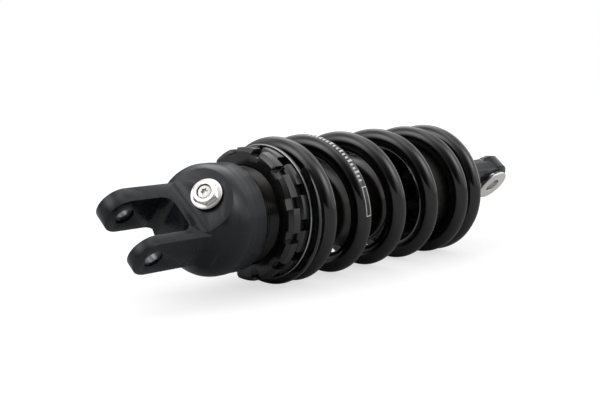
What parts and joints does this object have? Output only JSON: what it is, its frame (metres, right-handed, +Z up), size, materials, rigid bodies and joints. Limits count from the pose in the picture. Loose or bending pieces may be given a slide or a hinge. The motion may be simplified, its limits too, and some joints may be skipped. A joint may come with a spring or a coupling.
{
  "type": "rear shock absorber",
  "caption": "Coil-over rear shock absorber: forked clevis head with gas valve, threaded preload collars, coil spring, damper shaft and lower bearing eye.",
  "frame": {"origin": "on the clevis bolt axis, where it crosses the damper axis", "axes": "+X along the damper axis from the clevis to the lower eye; +Z up as the shock lies on its spring, with both bolt axes 40 degrees above the horizontal Y axis"},
  "size_m": [0.3372, 0.0832, 0.0827],
  "materials": {
    "black_anodised": "satin",
    "collar_black": "satin",
    "spring_paint": "gloss",
    "bright_zinc": "satin",
    "plain_steel": "satin",
    "shaft_chrome": "polished",
    "seal_rubber": "matte",
    "bump_foam": "matte",
    "bearing_bronze": "satin",
    "guide_plastic": "satin"
  },
  "bodies": {
    "damper": {"head_clevis": "black_anodised", "gas_valve_body": "bright_zinc", "gas_valve_screw": "bright_zinc", "gas_valve_seal": "seal_rubber", "cylinder_tube": "black_anodised", "seal_head": "black_anodised", "seal_head_o_ring": "seal_rubber", "seal_head_circlip": "plain_steel", "shaft_bushing": "bearing_bronze", "shaft_seal": "seal_rubber", "shaft_wiper": "seal_rubber"},
    "floating_piston": {"free_piston": "plain_steel", "free_piston_ring": "seal_rubber"},
    "perch": {"spring_perch": "collar_black"},
    "upper_collar": {"lock_ring": "collar_black"},
    "lower_collar": {"preload_ring": "collar_black"},
    "rod": {"shaft": "shaft_chrome", "piston_nut": "plain_steel", "compression_shim_1": "plain_steel", "compression_shim_2": "plain_steel", "compression_shim_3": "plain_steel", "piston": "black_anodised", "piston_band": "bearing_bronze", "rebound_shim_1": "plain_steel", "rebound_shim_2": "plain_steel", "rebound_shim_3": "plain_steel", "top_out_bumper": "seal_rubber", "seat_clip": "plain_steel", "lower_eye": "black_anodised", "bearing_race": "bright_zinc", "bearing_clip_lower": "plain_steel", "bearing_clip_upper": "plain_steel"},
    "adjuster": {"rebound_knob": "collar_black"},
    "needle": {"adjuster_rod": "plain_steel"},
    "ball": {"bearing_ball": "bright_zinc"},
    "seat": {"lower_spring_seat": "black_anodised", "coil_spring": "spring_paint", "bump_stop": "bump_foam", "spring_guide_sleeve": "guide_plastic"},
    "spacers": {"eye_spacer_lower": "bright_zinc", "eye_spacer_upper": "bright_zinc"}
  },
  "joints": [
    {"name": "shaft_slide", "type": "slide", "parent": "damper", "child": "seat", "axis": [-1, 0, 0], "range_m": [0, 0.05], "stiffness_N_per_m": 121000, "deforming": ["coil_spring"]},
    {"name": "rod_turn", "type": "hinge", "parent": "seat", "child": "rod", "pos_m": [0.2, 0, 0], "axis": [1, 0, 0], "continuous": true},
    {"name": "free_piston_slide", "type": "slide", "parent": "damper", "child": "floating_piston", "axis": [-1, 0, 0], "range_m": [0, 0.0062]},
    {"name": "perch_slide", "type": "slide", "parent": "damper", "child": "perch", "axis": [-1, 0, 0], "range_m": [0, 0.008]},
    {"name": "lock_ring_turn", "type": "hinge", "parent": "perch", "child": "upper_collar", "pos_m": [0.078, 0, 0], "axis": [1, 0, 0], "range_deg": [-1921, 1]},
    {"name": "preload_ring_turn", "type": "hinge", "parent": "perch", "child": "lower_collar", "pos_m": [0.085, 0, 0], "axis": [1, 0, 0], "range_deg": [-1921, 1]},
    {"name": "knob_turn", "type": "hinge", "parent": "rod", "child": "adjuster", "pos_m": [0.2715, 0, 0], "axis": [1, 0, 0], "range_deg": [0, 900]},
    {"name": "needle_slide", "type": "slide", "parent": "rod", "child": "needle", "axis": [-1, 0, 0], "range_m": [0, 0.00126]},
    {"name": "ball_tilt", "type": "hinge", "parent": "rod", "child": "ball", "pos_m": [0.3105, 0.00169, 0.00141], "axis": [1, 0, 0], "range_deg": [-5, 5]},
    {"name": "bolt_turn", "type": "hinge", "parent": "ball", "child": "spacers", "pos_m": [0.3105, 0.00169, 0.00141], "axis": [0, 0.766, 0.6428], "continuous": true}
  ],
  "couplings": [
    {"joint": "free_piston_slide", "follows": "shaft_slide", "ratio": 0.121},
    {"joint": "lock_ring_turn", "follows": "perch_slide", "rad_per_m": -4188.8},
    {"joint": "preload_ring_turn", "follows": "perch_slide", "rad_per_m": -4188.8},
    {"joint": "needle_slide", "follows": "knob_turn", "m_per_rad": 0.00008}
  ]
}
